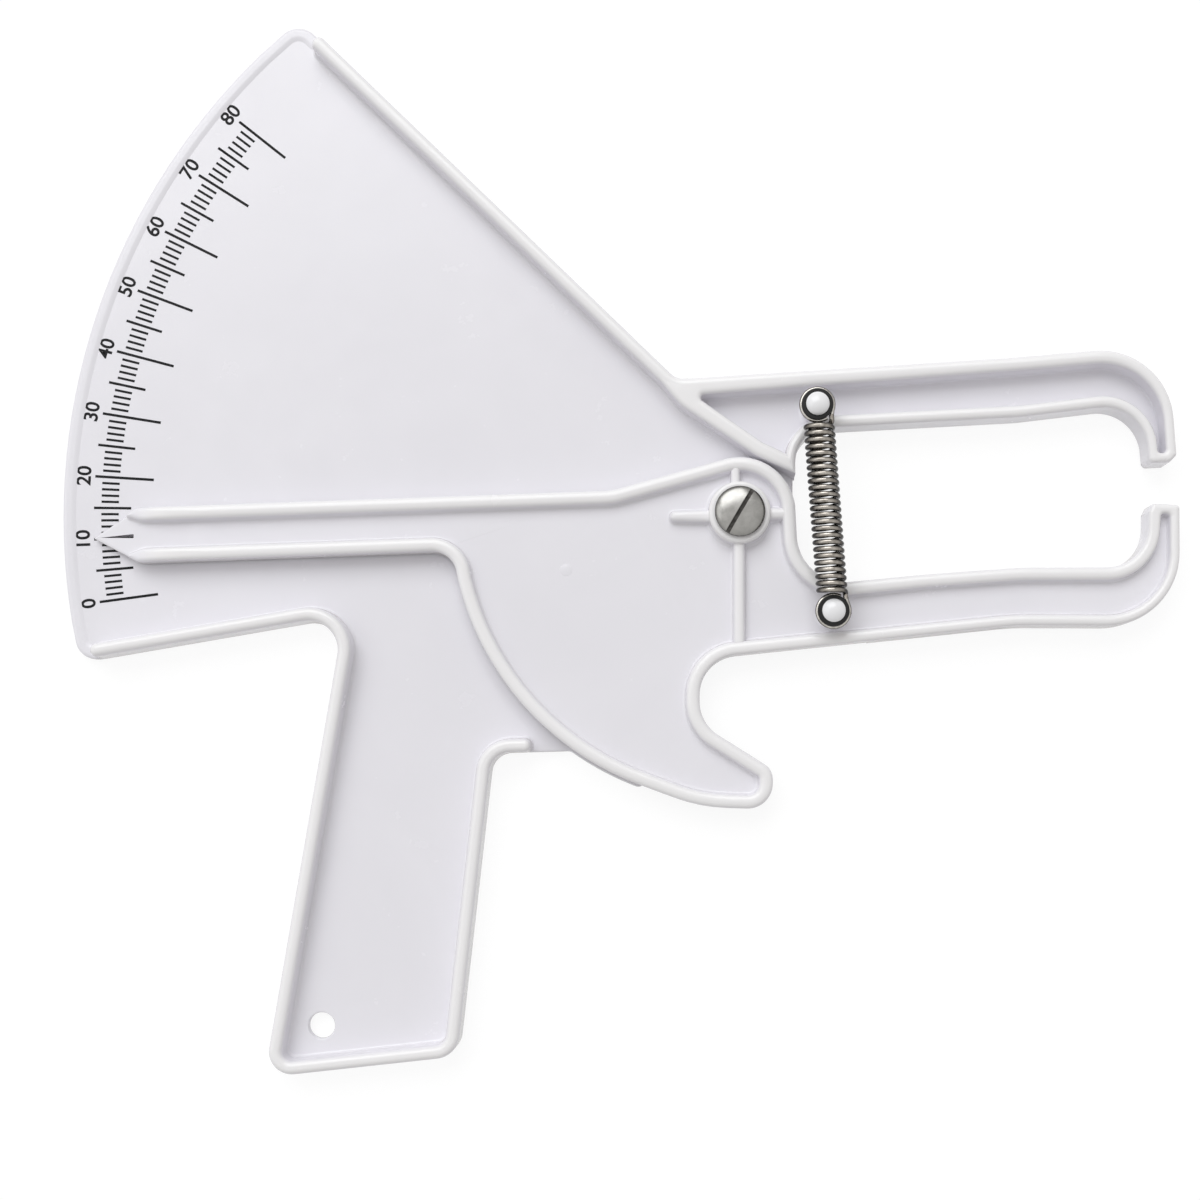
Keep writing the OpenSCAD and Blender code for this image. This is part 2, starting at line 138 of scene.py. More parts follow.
table_reach, table_gap = 3, 0.0004
bm = bmesh.new()
bmesh.ops.create_grid(bm, x_segments=1, y_segments=1, size=table_reach)
bmesh.ops.translate(bm, verts=bm.verts, vec=(0, 0, -table_gap))
table = bpy.data.objects.new("table", bpy.data.meshes.new("table"))
bm.to_mesh(table.data)
bm.free()
table.data.materials.append(white_table)
scene.collection.objects.link(table)


# ---- The scale frame ----
# One white ABS moulding: the fan that carries the scale, the pistol grip with its hanging
# hole, the finger rest and the upper jaw. Rounded rims stand on a thin web, and the post
# for the spring's upper end is moulded in one with them.

mm = 0.001
fan_radius, fan_back = 155.6, 7.7
fan_top, fan_low = 50.6, 13.1
frame_web, rim_top = 2.5, 8.0
rim_width, jaw_rim, jaw_top_rim, tip_rim, lip_width = 3.2, 2.75, 3.15, 2.3, 2.7
jaw_reach, tip_width, tip_height = 104.4, 6.5, 12.0
face_slope, face_middle, face_off = 2.8, 100.9, 0.06
hub_radius, hub_gap, guard_radius, rib_angle = 13.4, 0.7, 69.9, 65.4
upper_post, lower_post = (18.15, 24.7), (21.9, -24.0)
post_radius, post_fillet, post_top = 2.6, 1.2, 10.95
hang_hole, hole_radius = (-100.7, -123.0), 3.15
bore_radius, recess_radius, recess_depth = 3.05, 5.3, 1.2


def at_angle(radius, degrees, corner_radius=0):
    a = math.radians(degrees)
    return (radius * math.cos(a), radius * math.sin(a), corner_radius)


def on_fan(degrees, corner_radius=0):
    x, y, r = at_angle(fan_radius, degrees, corner_radius)
    return (x - fan_back, y, r)


def closed_face(x, off):
    """The line on which the two jaw tips meet."""
    return tip_height + math.tan(math.radians(face_slope)) * (x - face_middle) + off


def left_of(p, q):
    d = Vector(q[:2]) - Vector(p[:2])
    return Vector((-d.y, d.x)).normalized()


def moved_in(corners, gaps):
    """Each side of a closed run of corners (x, y, radius) moved to its left by its gap."""
    n = len(corners)
    if not isinstance(gaps, (list, tuple)):
        gaps = [gaps] * n
    moved = []
    for i, (x, y, r) in enumerate(corners):
        m, k = left_of(corners[i - 1], corners[i]), left_of(corners[i], corners[(i + 1) % n])
        a, b = gaps[i - 1], gaps[i]
        turn = m.x * k.y - m.y * k.x
        if abs(turn) < 0.02:
            step = (m + k).normalized() * (a + b) / 2
        else:
            step = Vector((a * k.y - b * m.y, b * m.x - a * k.x)) / turn
        near = (a + b) / 2
        if r > 0.01:
            r = max(r - near if turn > 0 else r + near, 0.05)
        moved.append((x + step.x, y + step.y, r))
    return moved


def rounded(corners, step=6):
    """The points of a closed run of corners, each rounded with its own radius."""
    points, n = [], len(corners)
    for i, (x, y, r) in enumerate(corners):
        q = Vector((x, y))
        a = (Vector(corners[i - 1][:2]) - q).normalized()
        b = (Vector(corners[(i + 1) % n][:2]) - q).normalized()
        half = math.acos(max(-1, min(1, a.dot(b)))) / 2
        if r <= 0.01 or half > math.radians(89.4):
            points.append(q)
            continue
        centre = q + (a + b).normalized() * r / math.sin(half)
        start = q + a * r / math.tan(half) - centre
        begin = math.atan2(start.y, start.x)
        turn = (math.pi - 2 * half) * (1 if a.x * b.y - a.y * b.x < 0 else -1)
        parts = max(2, math.ceil(abs(turn) / math.radians(step)))
        for j in range(parts + 1):
            angle = begin + turn * j / parts
            points.append(centre + r * Vector((math.cos(angle), math.sin(angle))))
    return points


merge_within = 0.0005


def ring_edges(bm, ring):
    return [bm.edges.get((v, ring[(i + 1) % len(ring)])) for i, v in enumerate(ring)]


def wall(bm, layers):
    """A closed wall drawn up through layers of (points, height). Gives its two end rings."""
    points, z = layers[0]
    ring = [bm.verts.new((p[0], p[1], z)) for p in points]
    for i, v in enumerate(ring):
        bm.edges.new((v, ring[(i + 1) % len(ring)]))
    first = ring
    for points, z in layers[1:]:
        drawn = bmesh.ops.extrude_edge_only(bm, edges=ring_edges(bm, ring))
        fresh = {g for g in drawn["geom"] if isinstance(g, bmesh.types.BMVert)}
        ring = [next(e.other_vert(v) for e in v.link_edges if e.other_vert(v) in fresh)
                for v in ring]
        for v, p in zip(ring, points):
            v.co = (p[0], p[1], z)
    return first, ring


def close_flat(bm, *rings):
    """A flat face with holes between rings that lie at one height."""
    edges = [e for ring in rings for e in ring_edges(bm, ring)]
    bmesh.ops.triangle_fill(bm, use_beauty=True, use_dissolve=False, edges=edges)


def circle(at, radius, count=64):
    return [Vector((at[0] + radius * math.cos(2 * math.pi * i / count),
                    at[1] + radius * math.sin(2 * math.pi * i / count))) for i in range(count)]


crest_round, crest_flat = 1.1, 0.2


def quarter(roundness, angles):
    """How far in and how far down a quarter round lies, at angles from its side to its top."""
    return [(roundness * (1 - math.cos(a)), roundness * (1 - math.sin(a)))
            for a in map(math.radians, angles)]


def rim_section(foot, web, top, roundness, fillet, outset=0.02):
    """A rim's cross-section as (outer inset, inner inset, z), from its foot to its crest."""
    edge, lean, sunk_in = 0.35, 0.2, 0.05
    section = [(edge, 0, foot), (0.1, 0, foot + 0.1), (-outset, 0, foot + edge),
               (-outset, 0, web - edge), (-outset, -lean - fillet - sunk_in, web - sunk_in)]
    section += [(-outset, -lean - far, web + up)
                for far, up in quarter(fillet, (72, 54, 36, 18, 0))]
    section += [(far - outset, far, top - low)
                for far, low in quarter(roundness, (0, 18, 36, 54, 72, 90))]
    return section


def fullness(width):
    """How far a rim of this width stretches its crest's rounding, so that little stays flat."""
    return (width - crest_flat) / 2 / crest_round


def spread(inset, foot, crest):
    """An inset of a cross-section, stretched apart below and above the web."""
    return inset * (foot if inset < 0 else crest)


def closed_rim(bm, outer, pocket, sides, section, on_web=(), widths=None):
    """A rim between an outer run and a pocket's run, which lies further in by its sides'
    (width, spread of the fillet). With widths, its crest is rounded over the whole rim."""
    crests = [fullness(w) for w in widths] if widths else [1] * len(outer)
    outside = [(rounded(moved_in(outer, [spread(b if i in on_web else a, 1, crest)
                                         for i, crest in enumerate(crests)])), z)
               for a, b, z in section]
    inside = [(rounded(moved_in(pocket, [w - spread(b, foot, fullness(w) if widths else 1)
                                         for w, foot in sides])), z)
              for a, b, z in section]
    low_out, top_out = wall(bm, outside)
    low_in, top_in = wall(bm, inside)
    close_flat(bm, top_out, top_in)
    close_flat(bm, low_out, low_in)


end_round = 0.97


def open_rim(bm, run, width, section, ends=(0.5, 0.5)):
    """A rim along the left of an open run of corners, with half round ends."""
    layers = []
    for a, b, z in section:
        head = (Vector(run[0][:2]) - Vector(run[1][:2])).normalized()
        tail = (Vector(run[-1][:2]) - Vector(run[-2][:2])).normalized()
        near = (a + b) / 2
        start = Vector(run[0][:2]) + head * (width * ends[0] - near)
        stop = Vector(run[-1][:2]) + tail * (width * ends[1] - near)
        line = [(start.x, start.y, 0)] + list(run[1:-1]) + [(stop.x, stop.y, 0)]
        far = [left_of(line[i], line[i + 1]) for i in range(len(line) - 1)]
        r = (width - a - b) / 2 * end_round

        def side(gap):
            row = [(line[0][0] + far[0].x * gap, line[0][1] + far[0].y * gap, r)]
            row += moved_in(line, gap)[1:-1]
            row.append((line[-1][0] + far[-1].x * gap, line[-1][1] + far[-1].y * gap, r))
            return row

        layers.append((rounded(side(a) + side(width - b)[::-1]), z))
    low, top = wall(bm, layers)
    bm.faces.new(low)
    bm.faces.new(top)


def turned(bm, profile, at=(0, 0), steps=72):
    """A round shape, from a profile of (radius, height) turned about an upright axis."""
    row = [bm.verts.new((at[0] + r, at[1], z)) for r, z in profile]
    line = [bm.edges.new(pair) for pair in zip(row, row[1:])]
    if profile[0][0] > 0:
        line.append(bm.edges.new((row[-1], row[0])))
    bmesh.ops.spin(bm, geom=row + line, cent=(at[0], at[1], 0), axis=(0, 0, 1),
                   angle=2 * math.pi, steps=steps, use_merge=True)
    bmesh.ops.remove_doubles(bm, verts=bm.verts, dist=merge_within)


def post(bm, at, web, top):
    """A round post on a web, with a small fillet at its foot."""
    edge = 0.15
    fillet = [(post_radius + far, web + up)
              for far, up in quarter(post_fillet, (90, 68, 45, 22, 0))]
    turned(bm, [(0, web - 0.6), (post_radius + post_fillet, web - 0.05)] + fillet
           + [(post_radius, top - edge), (post_radius - edge, top), (0, top)], at, 48)


def piece(name, bm, material, body=None, sharp=38):
    """Makes the mesh an object in metres, with crisp corners, that moves with a body."""
    bmesh.ops.recalc_face_normals(bm, faces=bm.faces)
    for face in bm.faces:
        face.smooth = True
    for edge in bm.edges:
        edge.smooth = edge.calc_face_angle(0) < math.radians(sharp)
    bmesh.ops.scale(bm, vec=(mm, mm, mm), verts=bm.verts)
    thing = bpy.data.objects.new(name, bpy.data.meshes.new(name))
    bm.to_mesh(thing.data)
    bm.free()
    thing.data.materials.append(material)
    scene.collection.objects.link(thing)
    even = thing.modifiers.new("even_flats", "WEIGHTED_NORMAL")
    even.keep_sharp = True
    if body:
        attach(thing, body)
    return thing


def noise(nodes, links, place, detail, scale):
    made = nodes.new("ShaderNodeTexNoise")
    made.inputs["Detail"].default_value = detail
    made.inputs["Scale"].default_value = scale
    links.new(place.outputs["Object"], made.inputs["Vector"])
    return made


def graded(nodes, links, value, given=(0, 1), made=(0, 1)):
    """A value taken from one range to another."""
    grade = nodes.new("ShaderNodeMapRange")
    for label, number in zip(("From Min", "From Max", "To Min", "To Max"), (*given, *made)):
        grade.inputs[label].default_value = number
    links.new(value, grade.inputs["Value"])
    return grade.outputs[0]


def shaded(nodes, links, mask, deep, pale, width):
    """Two shades that pass into each other over a width in the middle of a mask."""
    ramp = nodes.new("ShaderNodeValToRGB")
    for element, place, shade in zip(ramp.color_ramp.elements, (0.5 - width, 0.5 + width),
                                     (deep, pale)):
        element.position = place
        element.color = (*shade, 1)
    links.new(mask, ramp.inputs[0])
    return ramp.outputs[0]


def laid_over(nodes, links, share, under, over):
    """A colour laid over another one by a share."""
    mix = nodes.new("ShaderNodeMix")
    mix.data_type = "RGBA"
    mix.inputs["B"].default_value = (*over, 1)
    links.new(share, mix.inputs["Factor"])
    links.new(under, mix.inputs["A"])
    return mix.outputs["Result"]


def bumped(nodes, links, height, strength, depth, skin):
    bump = nodes.new("ShaderNodeBump")
    bump.inputs["Strength"].default_value = strength
    bump.inputs["Distance"].default_value = depth
    links.new(height, bump.inputs["Height"])
    links.new(bump.outputs[0], skin.inputs["Normal"])


def moulded_surface():
    """Shade, handling and height of a moulded plastic skin: flow marks, rub marks, fine texture."""
    group = bpy.data.node_groups.new("moulded_surface", "ShaderNodeTree")
    sockets = group.interface
    for way, labels in (("INPUT", ("Flow Scale", "Grain Scale")),
                        ("OUTPUT", ("Shade", "Handled", "Height"))):
        for label in labels:
            sockets.new_socket(label, in_out=way, socket_type="NodeSocketFloat")
    nodes, links = group.nodes, group.links
    given, result = nodes.new("NodeGroupInput"), nodes.new("NodeGroupOutput")
    place = nodes.new("ShaderNodeTexCoord")
    flow = noise(nodes, links, place, 3, 1)
    flow.inputs["Distortion"].default_value = 1.2
    links.new(given.outputs["Flow Scale"], flow.inputs["Scale"])
    links.new(flow.outputs["Fac"], result.inputs["Shade"])
    touch = noise(nodes, links, place, 5, 130)
    touch.inputs["Roughness"].default_value = 0.62
    links.new(touch.outputs["Fac"], result.inputs["Handled"])
    grain = noise(nodes, links, place, 2, 1)
    links.new(given.outputs["Grain Scale"], grain.inputs["Scale"])
    links.new(grain.outputs["Fac"], result.inputs["Height"])
    return group


def plastic(name, pale, deep, gloss, dull, flow=20.0, grain=2400.0, depth=0.000012, shine=0.5,
            flank_painted_shade=None, crest=None):
    """A moulded plastic: two close shades that flow into each other, a gloss that handling dulls,
    and, where given, painted highlight on rim crests and painted shade on flanks seen edge on."""
    material = bpy.data.materials.new(name)
    material.use_nodes = True
    nodes, links = material.node_tree.nodes, material.node_tree.links
    skin = nodes["Principled BSDF"]
    surface = nodes.new("ShaderNodeGroup")
    surface.node_tree = bpy.data.node_groups.get("moulded_surface") or moulded_surface()
    surface.inputs["Flow Scale"].default_value = flow
    surface.inputs["Grain Scale"].default_value = grain
    colour = shaded(nodes, links, surface.outputs["Shade"], deep, pale, 0.15)
    # Painted highlight: the colour turns lighter towards the top of the rims, as if light fell on
    # their crests.
    if crest:
        place, apart = nodes.new("ShaderNodeTexCoord"), nodes.new("ShaderNodeSeparateXYZ")
        links.new(place.outputs["Object"], apart.inputs[0])
        painted_crest_highlight = graded(nodes, links, apart.outputs["Z"],
                        ((rim_top - crest_round) * mm, (rim_top - 0.15) * mm))
        colour = laid_over(nodes, links, painted_crest_highlight, colour, crest)
    # Painted shade: surfaces seen edge on, such as rim flanks and outer edges, turn a darker warm
    # grey.
    if flank_painted_shade:
        edge_on = nodes.new("ShaderNodeLayerWeight")
        turned_away = graded(nodes, links, edge_on.outputs["Facing"], (0.8, 1.0))
        colour = laid_over(nodes, links, turned_away, colour, flank_painted_shade)
    links.new(colour, skin.inputs["Base Color"])
    sheen = graded(nodes, links, surface.outputs["Handled"], (0.35, 0.7), (gloss, dull))
    links.new(sheen, skin.inputs["Roughness"])
    bumped(nodes, links, surface.outputs["Height"], 0.35, depth, skin)
    skin.inputs["Specular IOR Level"].default_value = shine
    return material


# The last two colours are painted shade for flanks seen edge on and a painted highlight on the
# rims' crests.
white_abs = plastic("white_abs", (0.82, 0.808, 0.848), (0.80, 0.788, 0.828), 0.2, 0.28,
                    depth=0.000006, flank_painted_shade=(0.5, 0.47, 0.44), crest=(0.87, 0.86, 0.865))

neck = (-15.1, 32.1, 4)
jaw_top, jaw_bow = (65, 37.1, 60), (jaw_reach - 2, 40.3, 17.5)
tip_chamfer = (jaw_reach, tip_height + 1.8, 0.8)
tip_left = jaw_reach - tip_width
up_tip_in = (tip_left, closed_face(tip_left, face_off), 1.2)
up_tip_out = (jaw_reach - 1.6, closed_face(jaw_reach - 1.6, face_off), 0.8)
up_tip_full = (jaw_reach, closed_face(jaw_reach, face_off), 0.8)
up_inner, up_inner_mid, throat_up = (tip_left - 1.2, 26.5, 10.5), (67.2, 23, 40), (13.2, 20.1, 8.5)


def on_rib(out, along):
    """A point by the rib that stops the hub: outwards from its edge, and along it."""
    a = math.radians(rib_angle)
    far = hub_radius + hub_gap + out
    return (far * math.cos(a) - along * math.sin(a), far * math.sin(a) + along * math.cos(a), 0)


fan_from, fan_to = 180 - fan_top, 180 + fan_low
fan_corner, fan_foot = on_fan(fan_from, 5.5), on_fan(fan_to, 5)
grip_root, grip_heel, grip_toe = (-94.5, -24.1, 7), (-113.5, -134.8, 5.5), (-67.5, -129.8, 6)
finger_root = (-59.3, -57.3, 5)
guard_from, guard_to = 180 + math.degrees(math.asin(56.8 / guard_radius)), 250.5

fan_arc = [on_fan(fan_from + 4.5 + (fan_to - fan_from - 8) * i / 30) for i in range(31)]
guard_arc = [at_angle(guard_radius, guard_from + (guard_to - guard_from) * i / 8)
             for i in range(1, 8)]
hub_arc = [at_angle(hub_radius - 0.6, 257 + 5.5 * i) for i in range(21)]

frame_outline = [
    fan_corner, *fan_arc, fan_foot, grip_root, grip_heel, grip_toe, finger_root,
    at_angle(guard_radius, guard_from, 2), *guard_arc, at_angle(guard_radius, guard_to, 1.5),
    (-9, -16.5, 5), *hub_arc, (13, 5, 3),
    throat_up, up_inner_mid, up_inner, up_tip_in, up_tip_out, tip_chamfer, jaw_bow, jaw_top, neck]

bm = bmesh.new()
plate_edge = [(0.45, 0), (0.13, 0.13), (0, 0.45),
              (0, frame_web - 0.6), (0.18, frame_web - 0.18), (0.6, frame_web)]
back, front = wall(bm, [(rounded(moved_in(frame_outline, d)), z) for d, z in plate_edge])
hole_back, hole_front = wall(bm, [(circle(hang_hole, hole_radius + eased), z) for eased, z in (
    (0.45, 0), (0.13, 0.13), (0, 0.45),
    (0, frame_web - 0.45), (0.13, frame_web - 0.13), (0.45, frame_web))])
nut_back, nut_front = wall(bm, [(circle((0, 0), r), z) for r, z in (
    (recess_radius + 0.2, 0), (recess_radius, 0.2), (recess_radius, recess_depth),
    (bore_radius, recess_depth), (bore_radius, frame_web))])
close_flat(bm, back, hole_back, nut_back)
close_flat(bm, front, hole_front, nut_front)

tip_pocket_round = 3.1
jaw_loop = [(-16.1, 31.9, 0), (-20.0, 32.8, 0), (-14.2, 25.8, 15), on_rib(0, 2.3), on_rib(0, -8.2),
            throat_up, up_inner_mid, up_inner, up_tip_in, up_tip_out, tip_chamfer, jaw_bow, jaw_top]
jaw_pocket = [(-19.3, 30.7, 3.8), on_rib(0.8, 2.3), on_rib(0.8, -8.2), throat_up, up_inner_mid,
              up_inner, (*up_tip_in[:2], tip_pocket_round), (*up_tip_full[:2], tip_pocket_round),
              jaw_bow, jaw_top]
jaw_section = rim_section(0, frame_web, rim_top, crest_round, 0.5)
jaw_sides = [(jaw_rim, 1)] * 5 + [(tip_rim, 0.5)] * 3 + [(jaw_top_rim, 1)] * 2
jaw_widths = [jaw_rim] * 7 + [tip_rim] * 4 + [jaw_top_rim] * 2
closed_rim(bm, jaw_loop, jaw_pocket, jaw_sides, jaw_section, on_web=(1, 2, 3), widths=jaw_widths)



def from_corner(corner, towards, far):
    """A point this far from a corner, on its side towards another."""
    at = Vector(corner[:2]) + (Vector(towards[:2]) - Vector(corner[:2])).normalized() * far
    return (at.x, at.y, 0)


frame_section = rim_section(0, frame_web, rim_top - 0.02, 1.45, 0.7, 0.025)
open_rim(bm, [(-11.5, neck[1] + 0.25, 0), neck, from_corner(fan_corner, neck, 9.5)],
         rim_width, frame_section, (0.1, 0.5))
open_rim(bm, [from_corner(fan_foot, grip_root, 6), grip_root, grip_heel, grip_toe, finger_root,
              (-51.5, -57.1, 0)], rim_width, frame_section)

lip_run = [from_corner(fan_corner, neck, 6.5), fan_corner, *fan_arc, fan_foot,
           from_corner(fan_foot, grip_root, 5.5)]
lip_section = [(0.15, 0.2, 1.0), (-0.015, 0.1, 1.2), (-0.015, 0.0, 2.2), (0.03, -0.5, 2.47),
               (0.16, -0.2, 2.56), (0.36, 0.15, 2.68), (0.7, 0.6, 2.78), (1.0, 0.9, 2.8)]
open_rim(bm, lip_run, lip_width, lip_section)
post(bm, upper_post, frame_web, post_top)
scale_frame = piece("moulded_frame", bm, white_abs, "frame")
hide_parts("scale_frame")


# ---- The printed scale ----
# Black ink pad-printed on the fan: a line for each millimetre of jaw gap, longer at the
# fives and tens, with plain numbers at the tens. The lines point at the pivot.

jaw_radius, zero_angle = 102.4, -7.65
last_reading, long_line_end, short_line_end, number_place = 80, 148.2, 146.4, 150.75
number_size, number_weight, ink_depth = 4.8, 0.09, 0.03


def scale_angle(reading):
    return math.radians(zero_angle) + 2 * math.asin(reading / (2 * jaw_radius))


def on_scale(angle, radius, turn):
    """A place on the fan where a line at an angle is this far out from the fan's own centre."""
    k = fan_back * math.cos(angle)
    far = k + math.sqrt(k * k - fan_back ** 2 + radius ** 2)
    at = Matrix.Translation((-far * math.cos(angle), far * math.sin(angle), frame_web))
    return at @ Matrix.Rotation(turn - angle, 4, "Z")


def drawn_mesh(name, curve):
    """The mesh of a text or a curve, with its doubles merged."""
    drawn = bpy.data.objects.new(name, curve)
    scene.collection.objects.link(drawn)
    bpy.context.view_layer.update()
    shape = bpy.data.meshes.new_from_object(
        drawn.evaluated_get(bpy.context.evaluated_depsgraph_get()))
    bpy.data.objects.remove(drawn)
    bm = bmesh.new()
    bm.from_mesh(shape)
    bmesh.ops.remove_doubles(bm, verts=bm.verts, dist=merge_within)
    return bm


scale_ink = plastic("scale_ink", (0.012, 0.012, 0.013), (0.005, 0.005, 0.006), 0.45, 0.6,
                    300, 5000, 0.000004, 0.15)
bm = bmesh.new()
for reading in range(last_reading + 1):
    ten, five = reading % 10 == 0, reading % 5 == 0
    length, thick = (14.2, 0.62) if ten else (9.0, 0.6) if five else (4.2, 0.56)
    place = on_scale(scale_angle(reading), long_line_end if five else short_line_end, math.pi)
    inwards = Matrix.Translation((-length / 2, 0, 0))
    shape = Matrix.Diagonal((length, thick, 2 * ink_depth, 1))
    bmesh.ops.create_cube(bm, size=1, matrix=place @ inwards @ shape)
piece("scale_lines", bm, scale_ink, "frame")

for reading in range(0, last_reading + 1, 10):
    words = bpy.data.curves.new(f"number_{reading}", "FONT")
    words.body = str(reading)
    words.size = number_size
    words.align_x = "CENTER"
    words.align_y = "CENTER"
    words.offset = number_weight
    words.extrude = ink_depth
    words.resolution_u = 6
    bm = drawn_mesh(f"number_{reading}_drawn", words)
    bmesh.ops.transform(bm, verts=bm.verts,
                        matrix=on_scale(scale_angle(reading), number_place, math.pi / 2))
    piece(f"number_{reading}", bm, scale_ink, "frame")


# ---- The pointer lever ----
# The second white moulding turns on the pivot over the frame: pointer arm with a sight slot,
# hub with four ribs, trigger and lower jaw. Its jaw reaches down beside the frame so that the
# two tips meet over their whole depth.

pointer_reach, arm_half, arm_slope = 155.6, 6.5, 2.05
lever_foot, lever_web, lever_radius = 3.1, 5.3, 69.2
lever_rim, throat_rim, low_jaw_rim = 3.2, 3.0, 2.6
pictured_gap = 10
closing = 2 * math.asin(pictured_gap / (2 * jaw_radius))
shoulder = pointer_reach - arm_half / math.tan(math.radians(30))


def on_arm(out, up, corner_radius=0):
    a = math.radians(arm_slope)
    return (-out * math.cos(a) - up * math.sin(a), -out * math.sin(a) + up * math.cos(a),
            corner_radius)


def along_arm(point):
    """How far out along the arm a point lies."""
    a = math.radians(arm_slope)
    return -point[0] * math.cos(a) - point[1] * math.sin(a)


def opened(x, y, corner_radius):
    """Where a corner of the closed jaw lies at the gap of the photograph."""
    return (x * math.cos(closing) + y * math.sin(closing),
            -x * math.sin(closing) + y * math.cos(closing), corner_radius)


low_face_in = opened(tip_left, closed_face(tip_left, -face_off), 0.9)
low_face_out = opened(jaw_reach, closed_face(jaw_reach, -face_off), 1)
low_tip_side = (tip_left - 0.2, 0.2, 0.6)
low_bow, low_bottom = (low_face_out[0] + 0.1, -27.1, 17.5), (66, -26.9, 60)
low_inner = [(tip_left - 0.3, -13, 10), (67.2, -13.1, 60), (45, -14.7, 40)]
throat_low, hook_top = (14.3, -17.6, 11.5), (-9.6, -34.9, 9.5)
lever_from = 180 + arm_slope + math.degrees(math.asin(arm_half / lever_radius))
lever_round = [at_angle(lever_radius, lever_from, 6)] + [
    at_angle(lever_radius, lever_from + 6 + (244 - lever_from) * i / 18) for i in range(19)]
trigger = [(-9.5, -lever_radius - 1.1, 40), (7.9, -lever_radius - 1.6, 6),
           (7.9, -lever_radius + 7.9, 4.3), (-9.6, -50.3, 9.5)]
hub_from, hub_to = 8, 105.5
hub_edge = [at_angle(hub_radius, hub_from + (hub_to - hub_from) * i / 18) for i in range(19)]
leave_x, leave_y, _ = at_angle(hub_radius, hub_to)
way_x, way_y, _ = at_angle(1, hub_to + 90)
up_x, up_y = -math.sin(math.radians(arm_slope)), math.cos(math.radians(arm_slope))
reach = (arm_half - leave_x * up_x - leave_y * up_y) / (way_x * up_x + way_y * up_y)
arm_root = (leave_x + way_x * reach, leave_y + way_y * reach, 12)
thinning = (128, 130.5, 133, 135.5, 138, 140.5)
arm_top = [on_arm(u, arm_half) for u in thinning]
arm_bottom = [on_arm(u, -arm_half) for u in reversed(thinning)]

lever_outline = [
    on_arm(pointer_reach, 0, 0.3), on_arm(shoulder, -arm_half, 3), *arm_bottom,
    *lever_round, *trigger, hook_top, low_bottom, low_bow, low_face_out, low_face_in, low_tip_side,
    *low_inner, throat_low, *hub_edge, arm_root, *arm_top, on_arm(shoulder, arm_half, 3)]


def between(p, q, x):
    """The point at x on the line through two corners."""
    t = (x - p[0]) / (q[0] - p[0])
    return (x, p[1] + (q[1] - p[1]) * t, 0)


def bottom_at(x):
    return between(hook_top, low_bottom, x)


def throat_at(x):
    return between(throat_low, low_inner[2], x)


tip_out, tip_in = (*low_face_out[:2], tip_pocket_round), (*low_face_in[:2], tip_pocket_round)
mouth, mouth_round, nose, nose_half = 150, 143, 147.3, 4.75
pocket = (
    [(p, lever_rim, 1) for p in [on_arm(mouth, -arm_half), on_arm(mouth_round, -arm_half, 4),
                                 *arm_bottom, *lever_round, *trigger, hook_top]]
    + [(bottom_at(20), 2.9, 1), (bottom_at(30), low_jaw_rim, 1), (low_bottom, low_jaw_rim, 1)]
    + [(p, tip_rim, 0.5) for p in (low_bow, tip_out, tip_in)]
    + [(p, throat_rim, 1) for p in low_inner]
    + [(throat_at(38), 3.1, 1)]
    + [(p, lever_rim, 1) for p in [throat_at(32), throat_low, *hub_edge, arm_root, *arm_top,
                                   on_arm(mouth_round, arm_half, 4), on_arm(mouth, arm_half)]]
)
edge_run = [on_arm(nose, -nose_half, 0.4), *lever_outline[1:], on_arm(nose, nose_half, 0.4)]
pocket_run = moved_in([p for p, w, k in pocket], [w for p, w, k in pocket])[1:-1][::-1]


def crest_at(point, width):
    """How far the lever's crest is stretched. On the arm this fades towards its noses."""
    t = max(0, min(1, (along_arm(point) - 126) / 12))
    return fullness(width) * (1 - t) + t


edge_widths = {hook_top: jaw_rim, low_bottom: low_jaw_rim,
               **dict.fromkeys((low_bow, low_face_out, low_face_in, low_tip_side), tip_rim),
               **dict.fromkeys(low_inner, throat_rim)}
edge_crests = [crest_at(p, edge_widths.get(p, lever_rim)) for p in edge_run[:-1]]
pocket_spreads = [(k, crest_at(p, w)) for p, w, k in pocket[1:-1]][::-1]
pocket_spreads = [(1, 1), *pocket_spreads[1:], (1, 1)]


nose_from, nose_length, nose_drop, tip_from, tip_drop = 137, 10, 0.45, shoulder - 2, 1.1


def sunk(bm):
    """Lets the arm's tip slope down, and its two rims end in soft noses."""
    for v in bm.verts:
        along = along_arm(v.co)
        if along > 120 and v.co.z > lever_web - 0.6:
            t = max(0, min(1, (along - nose_from) / nose_length))
            v.co.z -= max(0, v.co.z - lever_web) * nose_drop * t * t * (3 - 2 * t)
            t = max(0, min(1, (along - tip_from) / (pointer_reach - tip_from)))
            v.co.z -= tip_drop * t * t * (2 - t)


bm = bmesh.new()
lever_section = rim_section(lever_foot, lever_web, rim_top, crest_round, 0.6)
layers = [(rounded(moved_in(edge_run + pocket_run, [spread(a, 1, c) for c in edge_crests]
                            + [spread(b, k, c) for k, c in pocket_spreads])), z)
          for a, b, z in lever_section]
low, crest = wall(bm, layers)
close_flat(bm, low)
close_flat(bm, crest)
sunk(bm)

